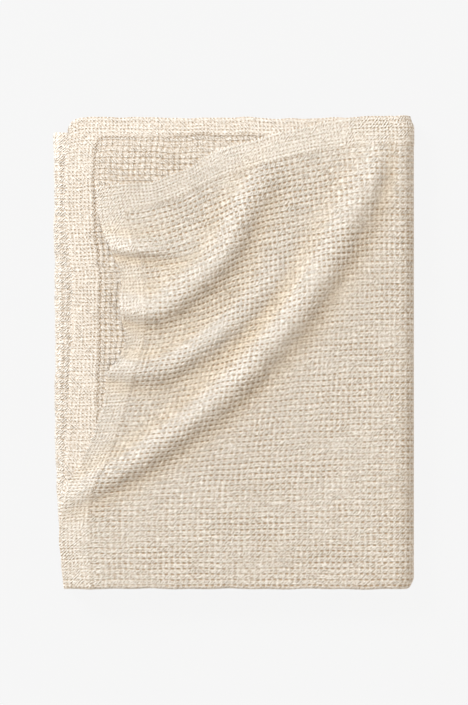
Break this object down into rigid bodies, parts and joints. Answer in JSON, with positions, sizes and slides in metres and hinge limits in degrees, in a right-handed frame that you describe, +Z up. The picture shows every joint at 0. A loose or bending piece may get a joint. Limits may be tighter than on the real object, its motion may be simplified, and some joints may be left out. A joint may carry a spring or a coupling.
{
  "type": "bedspread",
  "caption": "Waffle-weave cotton bedspread folded into a flat rectangular pack, its top corner pulled down so that the upper layer lies in soft diagonal swags.",
  "frame": {"origin": "centre of the folded pack's footprint, on the surface that it lies on", "axes": "+Z up out of the surface, +Y along the pack from its lower fold to its hemmed ends, +X across it from its hemmed side to its right fold"},
  "size_m": [0.45, 0.589, 0.0606],
  "materials": {
    "cotton": "undyed waffle-weave cotton, cream and dull, with turned and stitched hems"
  },
  "bodies": {
    "root": {"bedspread": "cotton"}
  },
  "joints": []
}
